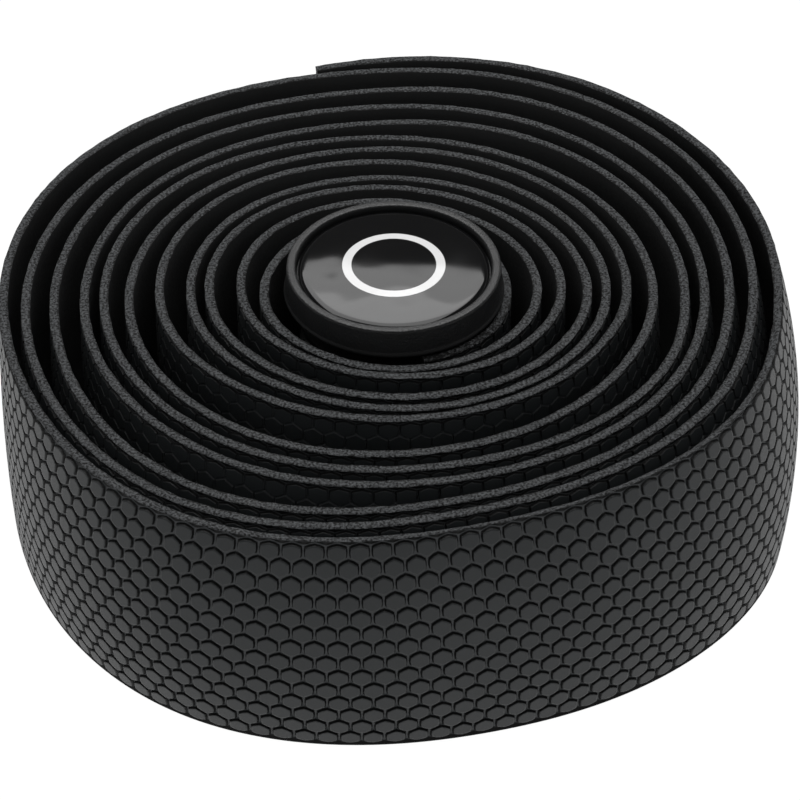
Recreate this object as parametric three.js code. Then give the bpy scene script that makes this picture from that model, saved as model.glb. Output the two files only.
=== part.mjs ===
// A roll of handlebar tape standing on its edge, with a bar end plug pressed into its core.
// Lengths are in millimetres and angles in degrees. The base of the roll is on z = 0, and its axis is +Z.

import * as THREE from 'three';

// The tape: one long strip, wound about eleven times round the plug
const tapeWidth = 30;
const tapeThickness = 1.1;
const edgeChamfer = 0.25;
const endDrop = 1.0;
const dropStart = 30;
const dropEnd = 150;

// Directions, measured from +X towards +Y, at which the roll's form is given
const directions = [0, 60, 102.5, 150, 195, 240, 285, 330];

// How far the inner face of the first turn stands outside the lip of the plug's cap, at each direction.
// Below zero, the tape is tucked in under the lip.
const coreSlack = [-0.2, 0.1, 0.4, 0.9, 2.0, 1.9, 2.4, 3.3];
const tailDirections = [-75, -30];
const tailSlack = [-0.3, -0.1];

// Free air between each turn and the next one out, at each direction. The tape ends within the last row.
const turnGaps = [
  [2.5, 1.2, 1.7, 2.6, 1.3, 0.4, 0.4, 1.3],
  [1.8, 1.7, 1.7, 2.4, 2.8, 2.8, 2.6, 2.3],
  [2.0, 1.2, 0.9, 0.9, 1.2, 1.0, 1.0, 1.0],
  [1.2, 1.9, 2.3, 2.7, 2.5, 1.5, 0.6, 0.7],
  [1.4, 2.0, 1.5, 1.6, 3.0, 5.4, 4.8, 3.2],
  [2.0, 1.3, 1.4, 2.3, 1.8, 1.6, 1.8, 3.3],
  [2.7, 3.4, 1.8, 1.1, 1.3, 1.7, 1.4, 0.9],
  [1.3, 2.0, 2.4, 2.5, 2.7, 4.6, 2.4, 2.0],
  [1.9, 3.1, 2.3, 2.1, 2.3, 1.8, 1.1, 1.6],
  [1.8, 2.8, 3.2, 2.8, 1.3, 1.1, 1.2, 2.0],
  [1.8, 1.8, 0.6],
];

// How far the outermost turn's foot stands out past its top edge, and its waist past both, at each direction
const footFlare = [2.0, 1.0, 0.5, 0.2, 0.0, 1.2, 3.4, 3.4];
const waistBulge = [1.8, 1.0, 0.8, 0.5, 0.7, 2.7, 2.5, 2.0];

// The bar end plug: a cupped cap that widens a little down to a thin lip, on a hollow stem with flexible rings
const lipRadius = 13.3;
const lipThickness = 0.5;
const capHeight = 3.6;
const lipLedge = 0.2;
const capTaper = 0.2;
const rimWidth = 1.1;
const rimRound = 0.35;
const cupDepth = 1.4;
const capFloor = 1.2;
const stemRadius = 8.6;
const stemWall = 1.5;
const stemLength = 19;
const ringCount = 4;
const ringReach = 2.9;
const ringThickness = 0.8;
const ringPitch = 4.2;
const ringSag = 1.2;
const tipChamfer = 1.2;

// The badge: a clear-coated disc with a domed face, lying in the cup
const badgeThickness = 0.6;
const badgeDome = 0.7;

// Air left between pieces that rest on each other or fit in each other
const seatGap = 0.3;

// Smoothness of the curved pieces
const stationAngle = 9;
const roundSides = 40;
const domeSteps = 5;

const capSeat = tapeWidth - endDrop + seatGap;
const rimRadius = lipRadius - lipLedge - capTaper;
const cupRadius = rimRadius - rimWidth;
const capTop = capSeat + capHeight;
const cupFloor = capTop - cupDepth;

function plastic(color, roughness) {
  return new THREE.MeshStandardMaterial({ color, roughness, metalness: 0 });
}

// The middle of the tape at every given direction of every turn, from the inner end to the outer end, with
// the lean of its wall, which grows outwards from nothing at the core
function windingKnots() {
  const flush = lipRadius + tapeThickness / 2;
  const knots = tailDirections.map((degrees, i) => {
    return { degrees, radius: flush + tailSlack[i], flare: 0, bulge: 0 };
  });
  const turns = turnGaps.length;
  let radii = coreSlack.map((slack) => flush + slack);
  for (let turn = 0; turn <= turns; turn += 1) {
    const share = (turn / turns) ** 2;
    radii.forEach((radius, i) => {
      const degrees = directions[i] + 360 * turn;
      knots.push({ degrees, radius, flare: footFlare[i] * share, bulge: waistBulge[i] * share });
    });
    const gaps = turnGaps[turn] ?? [];
    radii = gaps.map((gap, i) => radii[i] + tapeThickness + gap);
  }
  return knots;
}

// Stations along the tape: where its middle is, which way its face points, and how far its foot stands out
function windingStations() {
  const knots = windingKnots();
  const smooth = (quantity) => {
    const points = knots.map((knot) => new THREE.Vector2(knot.degrees, knot[quantity]));
    return new THREE.SplineCurve(points);
  };
  const winding = { radius: smooth('radius'), flare: smooth('flare'), bulge: smooth('bulge') };
  const spans = knots.length - 1;
  const places = [];
  for (let span = 0; span < spans; span += 1) {
    const steps = Math.round((knots[span + 1].degrees - knots[span].degrees) / stationAngle);
    for (let step = 0; step < steps; step += 1) {
      places.push((span + step / steps) / spans);
    }
  }
  places.push(1);
  const axis = new THREE.Vector2();
  const along = places.map((place) => {
    const { x: degrees, y: radius } = winding.radius.getPoint(place);
    const flare = winding.flare.getPoint(place).y;
    const bulge = winding.bulge.getPoint(place).y;
    const middle = new THREE.Vector2(radius, 0).rotateAround(axis, THREE.MathUtils.degToRad(degrees));
    return { degrees, flare, bulge, middle };
  });
  const last = along.length - 1;
  along.forEach((station, i) => {
    const heading = along[Math.min(i + 1, last)].middle.clone().sub(along[Math.max(i - 1, 0)].middle);
    station.outward = new THREE.Vector2(heading.y, -heading.x).normalize();
    const dropped = 1 - THREE.MathUtils.smoothstep(station.degrees, dropStart, dropEnd);
    station.top = tapeWidth - endDrop * dropped;
  });
  return along;
}

// The flat section of the tape, [across, up]: the outer face has a narrow chamfer at both edges
function sectionOutline(height) {
  const half = tapeThickness / 2;
  return [
    [half - edgeChamfer, 0],
    [half, edgeChamfer],
    [half, height / 2],
    [half, height - edgeChamfer],
    [half - edgeChamfer, height],
    [-half, height],
    [-half, height / 2],
    [-half, 0],
  ].map(([across, up]) => new THREE.Vector2(across, up));
}

// The section as it stands at one station, leaning out with the foot and bulging at mid height
function tapeSection({ middle, outward, flare, bulge, top }) {
  return sectionOutline(top).map(({ x: across, y: up }) => {
    const rise = up / tapeWidth;
    const lean = flare * (1 - rise) + bulge * 4 * rise * (1 - rise);
    const place = middle.clone().addScaledVector(outward, across + lean);
    return [place.x, place.y, up];
  });
}

// A closed solid through a row of sections, each a ring of [x, y, z] points. Both ends are capped with the
// triangles of their common outline.
function loft(sections, outline) {
  const sides = outline.length;
  const index = [];
  for (let s = 0; s + 1 < sections.length; s += 1) {
    for (let i = 0; i < sides; i += 1) {
      const a = s * sides + i;
      const b = s * sides + ((i + 1) % sides);
      index.push(a, a + sides, b, b, a + sides, b + sides);
    }
  }
  const last = (sections.length - 1) * sides;
  for (const [a, b, c] of THREE.ShapeUtils.triangulateShape(outline, [])) {
    index.push(a, b, c);
    index.push(last + a, last + c, last + b);
  }
  const geometry = new THREE.BufferGeometry();
  geometry.setAttribute('position', new THREE.Float32BufferAttribute(sections.flat(2), 3));
  geometry.setIndex(index);
  return geometry;
}

function makeTape() {
  const solid = loft(windingStations().map(tapeSection), sectionOutline(tapeWidth));
  const tape = new THREE.Mesh(solid, plastic(0x1d1d1f, 0.75));
  tape.name = 'handlebar_tape';
  return tape;
}

// A solid of revolution about +Z from a profile of [radius, z] points
function turned(profile) {
  const outline = profile.map(([radius, z]) => new THREE.Vector2(radius, z));
  return new THREE.LatheGeometry(outline, roundSides).rotateX(Math.PI / 2);
}

// One flexible ring of the stem, drooping away from the cap, as profile points from below to above
function ringProfile(z) {
  return [
    [stemRadius, z],
    [stemRadius + ringReach, z - ringSag],
    [stemRadius + ringReach, z - ringSag + ringThickness],
    [stemRadius, z + ringThickness],
  ];
}

function makePlug() {
  const floorUnder = cupFloor - capFloor;
  const stemEnd = capSeat - stemLength;
  const profile = [
    [0, floorUnder],
    [stemRadius - stemWall, floorUnder],
    [stemRadius - stemWall, stemEnd],
    [stemRadius - tipChamfer, stemEnd],
    [stemRadius, stemEnd + tipChamfer],
  ];
  for (let i = ringCount; i > 0; i -= 1) {
    profile.push(...ringProfile(capSeat - i * ringPitch + ringSag));
  }
  profile.push(
    [stemRadius, capSeat],
    [lipRadius, capSeat],
    [lipRadius, capSeat + lipThickness / 2],
    [lipRadius - lipLedge, capSeat + lipThickness],
    [rimRadius, capTop - rimRound],
    [rimRadius - rimRound, capTop],
    [cupRadius + rimRound, capTop],
    [cupRadius, capTop - rimRound],
    [cupRadius, cupFloor],
    [0, cupFloor],
  );
  const plug = new THREE.Mesh(turned(profile), plastic(0x19191b, 0.4));
  plug.name = 'bar_end_plug';
  return plug;
}

function makeBadge() {
  const radius = cupRadius - seatGap;
  const base = cupFloor + seatGap;
  const profile = [[0, base], [radius, base]];
  for (let i = 0; i <= domeSteps; i += 1) {
    const inward = i / domeSteps;
    const rise = badgeThickness + badgeDome * (1 - (1 - inward) ** 2);
    profile.push([radius * (1 - inward), base + rise]);
  }
  const badge = new THREE.Mesh(turned(profile), plastic(0x101012, 0.06));
  badge.name = 'domed_badge';
  return badge;
}

// The roll is centred over the origin by the box of its tape
const roll = new THREE.Group();
const tape = makeTape();
roll.add(tape, makePlug(), makeBadge());
const middle = new THREE.Box3().setFromObject(tape).getCenter(new THREE.Vector3());
roll.position.set(-middle.x, -middle.y, 0);

const part = new THREE.Group();
part.add(roll);

export default part;
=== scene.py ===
import math

import bpy
import numpy as np
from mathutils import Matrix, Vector


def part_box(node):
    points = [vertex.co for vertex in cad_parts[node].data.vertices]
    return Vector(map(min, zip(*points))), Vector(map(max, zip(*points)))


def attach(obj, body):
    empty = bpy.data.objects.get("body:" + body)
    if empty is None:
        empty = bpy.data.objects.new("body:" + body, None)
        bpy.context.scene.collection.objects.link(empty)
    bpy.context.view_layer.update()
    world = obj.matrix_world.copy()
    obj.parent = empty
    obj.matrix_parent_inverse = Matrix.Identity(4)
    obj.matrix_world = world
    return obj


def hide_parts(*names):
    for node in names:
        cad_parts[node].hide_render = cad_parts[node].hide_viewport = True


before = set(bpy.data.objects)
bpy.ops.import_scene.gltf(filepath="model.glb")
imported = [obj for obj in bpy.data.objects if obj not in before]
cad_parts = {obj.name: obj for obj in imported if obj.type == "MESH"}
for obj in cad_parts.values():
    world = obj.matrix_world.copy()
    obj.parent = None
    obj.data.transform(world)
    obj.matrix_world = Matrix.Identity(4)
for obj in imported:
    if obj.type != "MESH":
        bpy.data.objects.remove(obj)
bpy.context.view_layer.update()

# Sizes are in millimetres, and MM turns them into Blender's metres. Only the camera's clipping distances, the
# floor's size and the lamps are given in metres.
MM = 0.001
plug_low, plug_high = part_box("bar_end_plug")
roll_axis = (plug_low + plug_high) / 2

# The picture is taken from in front of the roll and 38 degrees above it, with a long lens, so that the plug's
# cap is seen as a flat oval and the whole front wall shows. The camera's place is measured from a point near
# the roll's axis, as high as the tape's edge, and it looks a little lower than that point.
camera_rise = math.radians(38)
camera_pitch = math.radians(39.55)
camera_distance = 517
aim_aside, aim_height = 0.74, 30

aim = Vector((roll_axis.x + aim_aside * MM, roll_axis.y, aim_height * MM))
towards_camera = Vector((0, -math.cos(camera_rise), math.sin(camera_rise)))
lens = bpy.data.cameras.new("photo_camera")
lens.sensor_width = 36
lens.lens = 193.1
lens.clip_start = 0.05
lens.clip_end = 50
camera = bpy.data.objects.new("photo_camera", lens)
camera.location = aim + towards_camera * camera_distance * MM
camera.rotation_euler = (math.pi / 2 - camera_pitch, 0, 0)
bpy.context.scene.collection.objects.link(camera)
bpy.context.scene.camera = camera
bpy.context.scene.view_settings.view_transform = "Standard"


# The handlebar tape: one strip of closed-cell foam with a black polyurethane skin, hot pressed into raised
# hexagon pads, slit to 30 mm and wound about eleven times round the plug. The slits leave grey, grainy edges.
tape_width = 30
tape_thickness = 1.1
end_drop = 1.0
drop_start, drop_end = 30, 150
lip_radius = 13.3
knot_steps = 30
sharp_angle = math.radians(35)

# At each direction round the roll, in degrees: how far the first turn stands out from the plug's lip, the
# air between each turn and the next, and how the outermost turn leans out. The tail is the tape's inner end.
directions = [0, 60, 102.5, 150, 195, 240, 285, 330]
core_slack = [-0.2, 0.1, 0.4, 0.9, 2.0, 1.9, 2.4, 3.3]
tail_directions = [-75, -30]
tail_slack = [-0.3, -0.1]
turn_gaps = [
    [2.5, 1.2, 1.7, 2.6, 1.3, 0.4, 0.4, 1.3],
    [1.8, 1.7, 1.7, 2.4, 2.8, 2.8, 2.6, 2.3],
    [2.0, 1.2, 0.9, 0.9, 1.2, 1.0, 1.0, 1.0],
    [1.2, 1.9, 2.3, 2.7, 2.5, 1.5, 0.6, 0.7],
    [1.4, 2.0, 1.5, 1.6, 3.0, 5.4, 4.8, 3.2],
    [2.0, 1.3, 1.4, 2.3, 1.8, 1.6, 1.8, 3.3],
    [2.7, 3.4, 1.8, 1.1, 1.3, 1.7, 1.4, 0.9],
    [1.3, 2.0, 2.4, 2.5, 2.7, 4.6, 2.4, 2.0],
    [1.9, 3.1, 2.3, 2.1, 2.3, 1.8, 1.1, 1.6],
    [1.8, 2.8, 3.2, 2.8, 1.3, 1.1, 1.2, 2.0],
    [1.8, 1.8, 0.6],
]
foot_flare = [2.0, 1.0, 0.5, 0.2, 0.0, 1.2, 3.4, 3.4]
waist_bulge = [1.8, 1.0, 0.8, 0.5, 0.7, 2.7, 2.5, 2.0]

# The pads and their grooves. The outer stretch of the tape, a little more than its last turn, has every row.
# Inside the roll the pads start at a higher row, with only lines of points on the plain face below them.
pad_pitch = 2.49
pad_rows = 14
plain_margin = 0.44
edge_margin = 0.4
groove_depth = 0.34
groove_floor = 0.13
shoulder_width = 0.16
inner_shoulder = 0.19
pad_rounding = 0.06
rounded_corners = 12
outer_stretch = 335
first_raised_row = 10
plain_heights = [8, 15]

# The edges' profiles: how far each point is in from the grip face, and how far from the tape's edge. The
# upper edge tilts at some directions, and painted shade makes the cut foam darker at its back corner and
# the tape's inner end.
top_rim = [(0, 0.14), (0.08, 0.03), (0.3, 0), (0.8, 0), (1.1, 0.06)]
foot_rim = [(1.1, 0), (0.12, 0), (0, 0.2)]
back_line_heights = [20, 10]
edge_wander = 0.05
wander_seed = 12
tilt_directions = [0, 35, 60, 235, 280, 330, 360]
edge_tilt = [0.4, 0.15, 0, 0, 0.42, 0.5, 0.4]
tilt_run_in = 20
back_corner = 0.3
sunken_length = 16

# The materials read a relief value at each point: 1 on a groove's floor, 0 at a pad's rim, -1 at its centre.
# The seams inside the roll have more, so that nearly all of each shoulder there is painted as pale as a
# floor:
# painted light for the light those shoulders catch from above. On the cut edges the value is a painted shade
# mask.
painted_light_relief = 6


def winding_knots():
    """The winding at each direction of each turn, in rows of degrees, radius, foot flare and waist bulge."""
    flush = lip_radius + tape_thickness / 2
    knots = [(degrees, flush + slack, 0, 0) for degrees, slack in zip(tail_directions, tail_slack)]
    radii = [flush + slack for slack in core_slack]
    turns = len(turn_gaps)
    for turn in range(turns + 1):
        share = (turn / turns) ** 2
        for i, radius in enumerate(radii):
            knots.append((directions[i] + 360 * turn, radius, foot_flare[i] * share, waist_bulge[i] * share))
        gaps = turn_gaps[turn] if turn < turns else []
        radii = [radius + tape_thickness + gap for radius, gap in zip(radii, gaps)]
    return np.array(knots, float)


def smooth_through(knots, steps):
    """A smooth curve through the knots, with so many steps between each two."""
    ends = np.vstack([knots[:1], knots, knots[-1:]])
    share = (np.arange(steps) / steps)[:, None]
    spans = []
    for before, start, end, after in zip(ends, ends[1:], ends[2:], ends[3:]):
        leave, arrive = (end - before) / 2, (after - start) / 2
        square = 3 * (end - start) - 2 * leave - arrive
        cube = 2 * (start - end) + leave + arrive
        spans.append(start + leave * share + square * share**2 + cube * share**3)
    return np.vstack([*spans, knots[-1:]])


degrees, radius, flare, bulge = smooth_through(winding_knots(), knot_steps).T
middle = np.stack([radius * np.cos(np.radians(degrees)), radius * np.sin(np.radians(degrees))], 1)
heading = np.gradient(middle, axis=0)
heading /= np.linalg.norm(heading, axis=1)[:, None]
drop_share = np.clip((degrees - drop_start) / (drop_end - drop_start), 0, 1)
tape_top = tape_width - end_drop * (1 - drop_share**2 * (3 - 2 * drop_share))
length_so_far = np.concatenate([[0], np.cumsum(np.linalg.norm(np.diff(middle, axis=0), axis=1))])
tape_length = length_so_far[-1]


def on_tape(along, up, out):
    """The point of the roll that is so far along the tape, so high on it, and so far out from its middle."""
    x, y, ahead_x, ahead_y, foot, waist, top = (
        np.interp(along, length_so_far, column)
        for column in (*middle.T, *heading.T, flare, bulge, tape_top)
    )
    height = up * top / tape_width
    rise = height / tape_width
    shift = out + foot * (1 - rise) + waist * 4 * rise * (1 - rise)
    place = np.stack([x + ahead_y * shift, y - ahead_x * shift, height], -1) * MM
    return place + np.array([roll_axis.x, roll_axis.y, 0])


columns = 2 * round(tape_length / pad_pitch)
column_step = tape_length / columns
first_outer = 2 * round((tape_length - outer_stretch) / pad_pitch)
row_height = (tape_width - 2 * plain_margin) / pad_rows
half_thickness = tape_thickness / 2
grip_face, cut_face, back_face = 0, 1, 2
points, depths, faces, face_kinds = [], [], [], []
point_count = 0


def add_points(along, up, out, depth):
    """Adds points of the tape and gives back their numbers, in the shape that they came in."""
    global point_count
    along, up, out, depth = np.broadcast_arrays(along, up, out, depth)
    points.append(on_tape(along.ravel(), up.ravel(), out.ravel()))
    depths.append(depth.ravel())
    numbers = np.arange(point_count, point_count + along.size).reshape(along.shape)
    point_count += along.size
    return numbers


def add_faces(corners, kind):
    """Adds faces, one for each row of corner numbers."""
    faces.extend(corners.reshape(-1, corners.shape[-1]).tolist())
    face_kinds.extend([kind] * (corners.size // corners.shape[-1]))


def add_bands(lines, kind):
    """Adds the faces between lines of points that run along the tape, each next to the one before it."""
    for near, far in zip(lines, lines[1:]):
        add_faces(np.stack([near[:-1], near[1:], far[1:], far[:-1]], -1), kind)


def pad_outline(values, centres, row):
    """The six corners of each pad in a row, anticlockwise from its lower left, out of a lattice of values."""
    lower = [values[centres + side, row] for side in (-1, 0, 1)]
    upper = [values[centres + side, row + 1] for side in (1, 0, -1)]
    return np.stack(lower + upper, 1)


# The grooves between the pads meet in a lattice of zigzag seams, which have a point at every half pitch
column, seam = np.meshgrid(np.arange(columns + 1), np.arange(pad_rows + 1), indexing="ij")
row_centre = plain_margin + (seam + 0.5) * row_height
seam_height = row_centre - np.where((column + seam) % 2 == 0, 2, 1) * row_height / 3
seam_height = np.clip(seam_height, edge_margin, tape_width - edge_margin)
# Seams inside the roll get the higher relief value that paints their shoulders pale, as painted light
painted_light_seam = (column < first_outer) & (seam < pad_rows)
seam_depth = np.where(painted_light_seam, painted_light_relief, 1) * groove_depth
lattice = add_points(column * column_step, seam_height, half_thickness - groove_depth, seam_depth)

# Each pad rises over a sloping shoulder to its top. On the outer stretch it is a hexagon with cut corners, in
# a groove with a flat floor, and its top is a fan round its centre. Inside the roll it is a plainer hexagon.
# The half pads at the ends of the rows stay as low as the grooves.
for row in range(pad_rows):
    start = 0 if row >= first_raised_row else first_outer
    for first, last in ((start, first_outer), (first_outer, columns)):
        centres = np.arange(first + 1, last + 1)
        centres = centres[((centres + row) % 2 == 0) & (centres < columns)]
        centre_along = (centres * column_step)[:, None]
        outline = pad_outline(lattice, centres, row)
        along = pad_outline(column * column_step, centres, row) - centre_along
        up = pad_outline(seam_height, centres, row)
        middle_up = (up.min(1, keepdims=True) + up.max(1, keepdims=True)) / 2
        form = np.stack([along, up - middle_up])
        insets = [(inner_shoulder, 0)]
        if first >= first_outer:
            halfway = (form + np.roll(form, -1, 2)) / 2
            form = np.stack([form * (1 - pad_rounding), halfway], -1)
            form = form.reshape(2, len(centres), rounded_corners)
            insets = [(groove_floor / 2, groove_depth), (groove_floor / 2 + shoulder_width, 0)]
        for inset, depth in insets:
            ring_along, ring_up = form * (1 - inset / column_step)
            ring = add_points(ring_along + centre_along, ring_up + middle_up, half_thickness - depth, depth)
            back_round = [np.roll(ring, -1, 1), ring]
            if ring.shape[1] > outline.shape[1]:
                back_round = [np.roll(ring, -2, 1)[:, ::2], ring[:, 1::2], ring[:, ::2]]
            add_faces(np.stack([outline, np.roll(outline, -1, 1), *back_round], -1), grip_face)
            outline = ring
        if first >= first_outer:
            centre = add_points(centre_along, middle_up, half_thickness, -groove_depth)
            fan = [outline, np.roll(outline, -1, 1), centre.repeat(rounded_corners, 1)]
            add_faces(np.stack(fan, -1), grip_face)
        else:
            add_faces(outline, grip_face)
    for end, inward in ((start, start + 1), (columns, columns - 1)):
        if (end + row) % 2 == 0:
            half = [lattice[end, row], lattice[inward, row], lattice[inward, row + 1], lattice[end, row + 1]]
            add_faces(np.array([half if end < inward else half[::-1]]), grip_face)

# Under the raised rows inside the roll the grip face is plain, and a narrow step closes its outer end
inside = np.arange(first_outer + 1) * column_step
plain = [add_points(inside, height, half_thickness, 0.0) for height in plain_heights]
plain = [lattice[: first_outer + 1, 0], *plain, lattice[: first_outer + 1, first_raised_row]]
add_bands(plain, grip_face)
step = [line[-1] for line in plain[::-1]] + list(lattice[first_outer, 1:first_raised_row])
add_faces(np.array([step]), grip_face)

# The two cut edges, which wander a little as a slitter's do, and the smooth back of the strip. Where the
# outermost turn leans in over the roll its upper edge tilts down towards the core.
wander = np.random.default_rng(wander_seed)
everywhere = np.arange(columns + 1) * column_step
tilt = np.interp(np.interp(everywhere, length_so_far, degrees) % 360, tilt_directions, edge_tilt)
tilt *= np.clip((everywhere - first_outer * column_step) / tilt_run_in, 0, 1)


def edge_line(inward, below, edge, sway):
    """A line of points along an edge, so far in from the grip face and so far from the edge."""
    across = half_thickness - inward + sway * wander.uniform(-1, 1, columns + 1)
    up = abs(edge - below) + sway * wander.uniform(-1, 1, columns + 1)
    if edge > 0:
        up = up - tilt * inward
    # The value kept as depth here is a mask of painted shade, 1 at the back corner and along the inner end
    nearness = 1 - min((tape_thickness - inward) / back_corner, 1)
    sunken = np.clip(1 - everywhere / sunken_length, nearness, 1)
    return add_points(everywhere, up, across, sunken * groove_depth)


top_lines = [edge_line(inward, below, tape_width, edge_wander) for inward, below in top_rim]
back_lines = [add_points(everywhere, height, -half_thickness, 0.0) for height in back_line_heights]
foot_lines = [edge_line(inward, above, 0, 0) for inward, above in foot_rim]
add_bands([lattice[:, pad_rows], top_lines[0]], grip_face)
add_bands(top_lines, cut_face)
add_bands([top_lines[-1], *back_lines, foot_lines[0]], back_face)
add_bands(foot_lines[:-1], cut_face)
add_bands([foot_lines[-2], foot_lines[-1], lattice[:, 0]], grip_face)

rim_and_back = top_lines + back_lines + foot_lines
inner_end = [line[0] for line in plain] + list(lattice[0, first_raised_row + 1 :])
inner_end += [line[0] for line in rim_and_back]
outer_end = list(lattice[columns]) + [line[-1] for line in rim_and_back]
add_faces(np.array([inner_end]), cut_face)
add_faces(np.array([outer_end[::-1]]), cut_face)

used = np.unique(np.concatenate([np.array(corners) for corners in faces]))
new_number = np.zeros(point_count, int)
new_number[used] = np.arange(len(used))
tape_mesh = bpy.data.meshes.new("handlebar_tape_strip")
tape_mesh.from_pydata(
    np.concatenate(points)[used].tolist(), [], [new_number[corners].tolist() for corners in faces]
)
tape_mesh.polygons.foreach_set("material_index", face_kinds)
tape_mesh.polygons.foreach_set("use_smooth", [True] * len(faces))
relief = tape_mesh.attributes.new("relief", "FLOAT", "POINT")
relief.data.foreach_set("value", np.concatenate(depths)[used] / groove_depth)
tape_mesh.set_sharp_from_angle(angle=sharp_angle)
tape = bpy.data.objects.new("handlebar_tape_strip", tape_mesh)
bpy.context.scene.collection.objects.link(tape)
tape.modifiers.new("flat_pad_tops", "WEIGHTED_NORMAL").keep_sharp = True


def put(tree, kind, inputs, **settings):
    """Puts a node into a shader tree. Each input is a value, or the socket of another node to link from."""
    node = tree.nodes.new(kind)
    for name, value in settings.items():
        setattr(node, name, value)
    for name, value in inputs.items():
        if isinstance(value, bpy.types.NodeSocket):
            tree.links.new(value, node.inputs[name])
        else:
            node.inputs[name].default_value = value
    return node


def maths(tree, operation, *values):
    """The result of one step of arithmetic on values or sockets."""
    return put(tree, "ShaderNodeMath", dict(enumerate(values)), operation=operation).outputs[0]


def ramp(tree, value, start, end, low=0, high=1, **settings):
    """A mask that runs from low to high while the value runs from start to end."""
    inputs = {"Value": value, "From Min": start, "From Max": end, "To Min": low, "To Max": high}
    return put(tree, "ShaderNodeMapRange", inputs, **settings).outputs["Result"]


def spread(tree, mask, low, high, reach=0.15):
    """A mask that lies about 0.5, spread out within that reach of it to run from low to high."""
    return ramp(tree, mask, 0.5 - reach, 0.5 + reach, low, high)


def blend_colours(tree, mask, first, second):
    """A colour that runs from the first to the second with the mask."""
    inputs = {0: mask, 6: first, 7: second}
    return put(tree, "ShaderNodeMix", inputs, data_type="RGBA").outputs[2]


def bumped(tree, shader, height, strength, distance):
    """Gives the shader the small relief of a height that runs from 0 to 1."""
    inputs = {"Height": height, "Strength": strength, "Distance": distance * MM}
    tree.links.new(put(tree, "ShaderNodeBump", inputs).outputs["Normal"], shader.inputs["Normal"])


def finish_of(name, **sockets):
    """A new material with one Principled shader, and its tree and shader."""
    material = bpy.data.materials.new(name)
    material.use_nodes = True
    tree = material.node_tree
    shader = tree.nodes["Principled BSDF"]
    for socket, value in sockets.items():
        shader.inputs[socket.replace("_", " ")].default_value = value
    return material, tree, shader


# Grain and blotches: the fine cells or pebbling of a surface, and its slow change of tone
grain_group = bpy.data.node_groups.new("grain_and_blotches", "ShaderNodeTree")
for name, low, high in (("Grain Scale", 100, 20000), ("Blotch Scale", 1, 2000)):
    socket = grain_group.interface.new_socket(name, in_out="INPUT", socket_type="NodeSocketFloat")
    socket.default_value, socket.min_value, socket.max_value = math.sqrt(low * high), low, high
for name in ("Grain", "Blotches"):
    grain_group.interface.new_socket(name, in_out="OUTPUT", socket_type="NodeSocketFloat")
group_in = put(grain_group, "NodeGroupInput", {})
place = put(grain_group, "ShaderNodeTexCoord", {}).outputs["Object"]
grain = put(grain_group, "ShaderNodeTexNoise", {
    "Vector": place, "Scale": group_in.outputs["Grain Scale"], "Detail": 3, "Roughness": 0.6,
})
blotches = put(grain_group, "ShaderNodeTexNoise", {
    "Vector": place, "Scale": group_in.outputs["Blotch Scale"], "Detail": 2, "Roughness": 0.5,
})
put(grain_group, "NodeGroupOutput", {"Grain": grain.outputs["Fac"], "Blotches": blotches.outputs["Fac"]})


def grained(tree, grain_scale, blotch_scale):
    """The grain group, placed in a material's tree with its own two scales."""
    inputs = {"Grain Scale": grain_scale, "Blotch Scale": blotch_scale}
    return put(tree, "ShaderNodeGroup", inputs, node_tree=grain_group).outputs


# The skin: near black pads and a bump that rounds each rim, with painted shade that makes the shoulders
# blacker and painted light that makes the groove floors and the shoulders inside the roll grey
pad_dark, pad_light = (0.0135, 0.0155, 0.0165, 1), (0.0195, 0.022, 0.0232, 1)
painted_shade_black = (0.003, 0.003, 0.003, 1)
painted_light_grey = (0.036, 0.039, 0.041, 1)

grip_skin, tree, shader = finish_of("black_polyurethane_skin", IOR=1.4)
skin = grained(tree, 5200, 110)
depth_share = put(tree, "ShaderNodeAttribute", {}, attribute_name="relief").outputs["Fac"]
pad_tone = blend_colours(tree, skin["Blotches"], pad_dark, pad_light)
# Painted shade: the shoulders are blacker, as if the grooves lay in shade
pad_tone_with_painted_shade = blend_colours(tree, ramp(tree, depth_share, 0.02, 0.2), pad_tone, painted_shade_black)
# Painted light: the groove floors and the shoulders inside the roll are grey, as if lit
skin_tone_with_painted_light = blend_colours(tree, ramp(tree, depth_share, 0.7, 1), pad_tone_with_painted_shade, painted_light_grey)
tree.links.new(skin_tone_with_painted_light, shader.inputs["Base Color"])
tree.links.new(spread(tree, skin["Grain"], 0.38, 0.5), shader.inputs["Roughness"])
rim_round = ramp(tree, depth_share, 0, -0.15, interpolation_type="SMOOTHSTEP")
bumped(tree, shader, maths(tree, "MULTIPLY_ADD", skin["Grain"], 0.2, rim_round), 1, 0.05)

# The cut foam: black cells in a grey, with painted shade that darkens it towards the back corner and the
# sunken inner end
cell_black, foam_grey = (0.003, 0.003, 0.003, 1), (0.061, 0.064, 0.067, 1)

cut_foam, tree, shader = finish_of("slit_foam_edge", IOR=1.4)
foam = grained(tree, 3300, 260)
corner = put(tree, "ShaderNodeAttribute", {}, attribute_name="relief").outputs["Fac"]
# Painted shade: the relief value darkens the foam's grain at the back corner and the inner end
grain_with_painted_shade = maths(tree, "ADD", foam["Grain"], maths(tree, "MULTIPLY", corner, -0.12))
cell_tone = blend_colours(tree, spread(tree, grain_with_painted_shade, 0, 1, 0.1), cell_black, foam_grey)
tree.links.new(cell_tone, shader.inputs["Base Color"])
tree.links.new(spread(tree, foam["Blotches"], 0.75, 0.95), shader.inputs["Roughness"])
bumped(tree, shader, foam["Grain"], 0.9, 0.2)

# The back: a smooth film, a little lighter than the grip face
back_dark, back_light = (0.0195, 0.02, 0.0202, 1), (0.032, 0.0325, 0.0328, 1)

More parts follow.
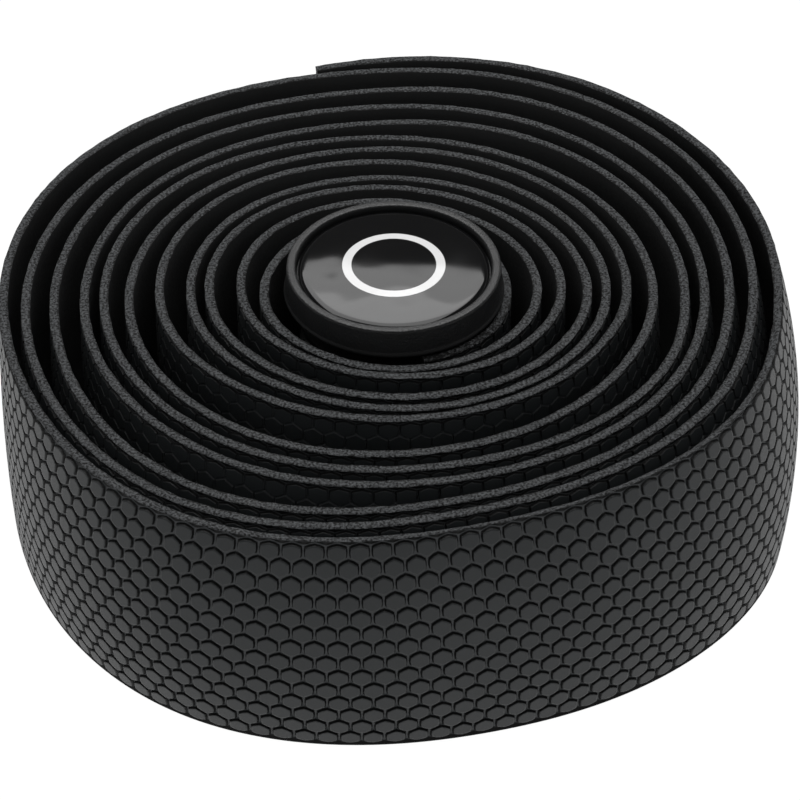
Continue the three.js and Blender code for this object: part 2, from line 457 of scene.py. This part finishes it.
back_skin, tree, shader = finish_of("smooth_tape_back", IOR=1.4)
backing = grained(tree, 2600, 70)
back_tone = blend_colours(tree, backing["Blotches"], back_dark, back_light)
tree.links.new(back_tone, shader.inputs["Base Color"])
tree.links.new(spread(tree, backing["Grain"], 0.5, 0.64), shader.inputs["Roughness"])
bumped(tree, shader, backing["Grain"], 0.2, 0.04)

for material in (grip_skin, cut_foam, back_skin):
    tape_mesh.materials.append(material)
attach(tape, "root")
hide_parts("handlebar_tape")


# The bar end plug: one satin black moulding, pressed into the roll by its hollow stem. Its cap widens down to
# a thin lip that covers the bar's end, and its rounded rim stands round the cup that holds the badge.
lip_thickness = 0.5
cap_height = 3.6
lip_ledge = 0.2
cap_taper = 0.2
rim_width = 1.1
cup_depth = 1.4
cap_floor = 1.2
stem_radius = 8.6
stem_wall = 1.5
stem_length = 19
ring_count = 4
ring_reach = 2.9
ring_thickness = 0.8
ring_pitch = 4.2
ring_sag = 1.2
tip_chamfer = 1.2
seat_gap = 0.3
round_sides = 144
plastic_dark, plastic_light = (0.0045, 0.0047, 0.005, 1), (0.008, 0.0083, 0.0088, 1)

cap_seat = tape_width - end_drop + seat_gap
rim_radius = lip_radius - lip_ledge - cap_taper
cup_radius = rim_radius - rim_width
cap_top = cap_seat + cap_height
cup_floor = cap_top - cup_depth
stem_end = cap_seat - stem_length


def rounded(profile, steps=5):
    """A profile of [radius, height, corner radius] points as points with each corner rounded."""
    points = [np.array(corner[:2], float) for corner in profile]
    smooth = []
    for i, corner in enumerate(profile):
        if len(corner) < 3:
            smooth.append(points[i])
            continue
        back, ahead = points[i - 1] - points[i], points[i + 1] - points[i]
        reach = min(corner[2], 0.49 * np.linalg.norm(back), 0.49 * np.linalg.norm(ahead))
        start = points[i] + back / np.linalg.norm(back) * reach
        end = points[i] + ahead / np.linalg.norm(ahead) * reach
        for share in np.arange(steps + 1) / steps:
            smooth.append(start * (1 - share) ** 2 + points[i] * 2 * share * (1 - share) + end * share**2)
    return smooth


def turned(name, profile):
    """A closed mesh piece turned about the roll's axis from a profile that starts and ends on the axis."""
    turns = np.arange(round_sides) * 2 * math.pi / round_sides
    places = [(roll_axis.x, roll_axis.y, profile[0][1] * MM), (roll_axis.x, roll_axis.y, profile[-1][1] * MM)]
    for reach, height in profile[1:-1]:
        for turn in turns:
            x, y = reach * math.cos(turn) * MM, reach * math.sin(turn) * MM
            places.append((roll_axis.x + x, roll_axis.y + y, height * MM))
    rings = 2 + np.arange((len(profile) - 2) * round_sides).reshape(-1, round_sides)
    wrapped = np.roll(rings, -1, 1)
    corners = np.stack([rings[:-1], wrapped[:-1], wrapped[1:], rings[1:]], -1).reshape(-1, 4).tolist()
    corners += [[0, b, a] for a, b in zip(rings[0].tolist(), wrapped[0].tolist())]
    corners += [[1, a, b] for a, b in zip(rings[-1].tolist(), wrapped[-1].tolist())]
    mesh = bpy.data.meshes.new(name)
    mesh.from_pydata(places, [], corners)
    mesh.polygons.foreach_set("use_smooth", [True] * len(corners))
    mesh.set_sharp_from_angle(angle=sharp_angle)
    piece = bpy.data.objects.new(name, mesh)
    bpy.context.scene.collection.objects.link(piece)
    return piece


plug_profile = [
    [0, cup_floor - cap_floor],
    [stem_radius - stem_wall, cup_floor - cap_floor, 0.4],
    [stem_radius - stem_wall, stem_end, 0.2],
    [stem_radius - tip_chamfer, stem_end, 0.1],
    [stem_radius, stem_end + tip_chamfer, 0.5],
]
for i in range(ring_count, 0, -1):
    root = cap_seat - i * ring_pitch + ring_sag
    plug_profile += [
        [stem_radius, root, 0.2],
        [stem_radius + ring_reach, root - ring_sag, 0.25],
        [stem_radius + ring_reach, root - ring_sag + ring_thickness, 0.25],
        [stem_radius, root + ring_thickness, 0.3],
    ]
plug_profile += [
    [stem_radius, cap_seat, 0.2],
    [lip_radius, cap_seat, 0.1],
    [lip_radius, cap_seat + lip_thickness / 2, 0.15],
    [lip_radius - lip_ledge, cap_seat + lip_thickness, 0.2],
    [rim_radius, cap_top, 0.34],
    [cup_radius, cap_top, 0.3],
    [cup_radius, cup_floor, 0.2],
    [0, cup_floor],
]
plug = turned("bar_end_plug_moulding", rounded(plug_profile))

moulded_plastic, tree, shader = finish_of("satin_moulded_plastic", IOR=1.5)
moulding = grained(tree, 3800, 120)
plastic_tone = blend_colours(tree, moulding["Blotches"], plastic_dark, plastic_light)
tree.links.new(plastic_tone, shader.inputs["Base Color"])
tree.links.new(spread(tree, moulding["Grain"], 0.28, 0.46), shader.inputs["Roughness"])
bumped(tree, shader, moulding["Grain"], 0.8, 0.09)
plug.data.materials.append(moulded_plastic)
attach(plug, "root")
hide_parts("bar_end_plug")


# The badge: a black disc with one pale printed ring, under a poured dome of clear resin. It is stuck to the
# floor of the cup, with a narrow dark groove left round it.
badge_thickness = 0.6
badge_dome = 0.7
edge_roll, edge_reach = 0.25, 0.9
dome_steps = 30
print_outside = 6.2
print_width = 1.1
print_blur = 0.03
disc_dark, disc_light = (0.002, 0.002, 0.0022, 1), (0.004, 0.004, 0.0042, 1)
print_white = (0.62, 0.62, 0.62, 1)

badge_radius = cup_radius - seat_gap
badge_base = cup_floor + seat_gap
badge_profile = [
    [0, badge_base],
    [badge_radius, badge_base, 0.1],
    [badge_radius, badge_base + badge_thickness - edge_roll, 0.15],
]
for i in range(1, dome_steps + 1):
    inward = (i / dome_steps) ** 1.5
    roll = edge_roll * max(0, 1 - inward * badge_radius / edge_reach) ** 2
    rise = badge_thickness + badge_dome * (1 - (1 - inward) ** 2) - roll
    badge_profile.append([badge_radius * (1 - inward), badge_base + rise])
badge = turned("domed_resin_badge", rounded(badge_profile))

resin, tree, shader = finish_of("printed_disc_under_resin", IOR=1.5, Roughness=0.09)
place = put(tree, "ShaderNodeTexCoord", {}).outputs["Object"]
on_axis = (roll_axis.x, roll_axis.y, 0)
from_axis = put(tree, "ShaderNodeVectorMath", {0: place, 1: on_axis}, operation="SUBTRACT").outputs[0]
flat = put(tree, "ShaderNodeVectorMath", {0: from_axis, 1: (1, 1, 0)}, operation="MULTIPLY").outputs[0]
reach = put(tree, "ShaderNodeVectorMath", {0: flat}, operation="LENGTH").outputs["Value"]
off_line = maths(tree, "ABSOLUTE", maths(tree, "SUBTRACT", reach, (print_outside - print_width / 2) * MM))
line = ramp(tree, off_line, (print_width / 2 + print_blur) * MM, (print_width / 2 - print_blur) * MM)
ink = grained(tree, 2500, 55)
disc_tone = blend_colours(tree, ink["Blotches"], disc_dark, disc_light)
tree.links.new(blend_colours(tree, line, disc_tone, print_white), shader.inputs["Base Color"])
bumped(tree, shader, ink["Blotches"], 1.0, 0.9)
badge.data.materials.append(resin)
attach(badge, "root")
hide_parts("domed_badge")


# The stage: a white floor that keeps a soft shadow, with a shaded patch under the roll, one large soft lamp
# above and behind, and a surround that is white at the horizon and dark overhead, as in a studio with a low
# white sweep.
floor_size = 6
floor_drop, patch_drop = 0.3, 0.2
patch_points = 180
paper_grey, white = (0.5, 0.5, 0.5, 1), (1, 1, 1, 1)
glow_share, glow_strength = 0.94, 1.06
lamp_tilt, lamp_turn = -28, -12
even_light = 0.7
sweep_low, sweep_high, sweep_dark = -0.1, 0.25, 0.06


def stage_piece(name, outline):
    """A flat stage piece with that outline, facing up."""
    mesh = bpy.data.meshes.new(name)
    mesh.from_pydata(outline, [], [list(range(len(outline)))])
    piece = bpy.data.objects.new(name, mesh)
    bpy.context.scene.collection.objects.link(piece)
    return piece


corners = [(-1, -1), (1, -1), (1, 1), (-1, 1)]
floor = stage_piece("floor", [(x * floor_size / 2, y * floor_size / 2, -floor_drop * MM) for x, y in corners])
last_turn_start = np.interp(degrees[-1] - 360, degrees, length_so_far)
last_turn = np.linspace(last_turn_start, tape_length, patch_points)
under_roll = on_tape(last_turn, 0, 0) - np.array([0, 0, patch_drop * MM])
patch = stage_piece("shaded_floor_under_roll", under_roll.tolist())
shaded_paper, tree, shader = finish_of("shaded_paper", Base_Color=paper_grey, Roughness=0.8)
patch.data.materials.append(shaded_paper)

# The floor is plain paper to light that bounces, and glows white to the camera and to mirroring surfaces
paper, tree, shader = finish_of("white_paper", Base_Color=paper_grey, Roughness=0.8)
rays = put(tree, "ShaderNodeLightPath", {}).outputs
seen = maths(tree, "MAXIMUM", rays["Is Camera Ray"], rays["Is Glossy Ray"])
seen = maths(tree, "MAXIMUM", seen, rays["Is Transmission Ray"])
share = maths(tree, "MULTIPLY", seen, glow_share)
glow = put(tree, "ShaderNodeEmission", {"Color": white, "Strength": glow_strength})
mixed = put(tree, "ShaderNodeMixShader", {0: share, 1: shader.outputs[0], 2: glow.outputs[0]})
tree.links.new(mixed.outputs[0], tree.nodes["Material Output"].inputs["Surface"])
floor.data.materials.append(paper)

for name, width, depth, energy, place in (
    ("softbox", 1.1, 0.96, 9, (-0.1, 0.49, 0.93)),
    ("softbox_core", 0.62, 0.3, 0.88, (0.06, 0.568, 0.832)),
):
    lamp = bpy.data.lights.new(name, "AREA")
    lamp.shape = "RECTANGLE"
    lamp.size, lamp.size_y = width, depth
    lamp.energy = energy
    lamp_object = bpy.data.objects.new(name, lamp)
    lamp_object.location = place
    lamp_object.rotation_euler = (math.radians(lamp_tilt), 0, math.radians(lamp_turn))
    bpy.context.scene.collection.objects.link(lamp_object)

# The camera sees a white surround, mirroring surfaces see the sweep, and all else gets an even light
world = bpy.data.worlds.new("white_surround")
world.use_nodes = True
tree = world.node_tree
rays = put(tree, "ShaderNodeLightPath", {}).outputs
mirrored = maths(tree, "MAXIMUM", rays["Is Glossy Ray"], rays["Is Transmission Ray"])
direction = put(tree, "ShaderNodeTexCoord", {}).outputs["Generated"]
rise = put(tree, "ShaderNodeSeparateXYZ", {"Vector": direction}).outputs["Z"]
sweep = ramp(tree, rise, sweep_low, sweep_high, 1.0, sweep_dark)
unseen = put(tree, "ShaderNodeMix", {0: mirrored, 2: even_light, 3: sweep}).outputs[0]
strength = put(tree, "ShaderNodeMix", {0: rays["Is Camera Ray"], 2: unseen, 3: 1.0}).outputs[0]
background = tree.nodes["Background"]
background.inputs["Color"].default_value = white
tree.links.new(strength, background.inputs["Strength"])
bpy.context.scene.world = world
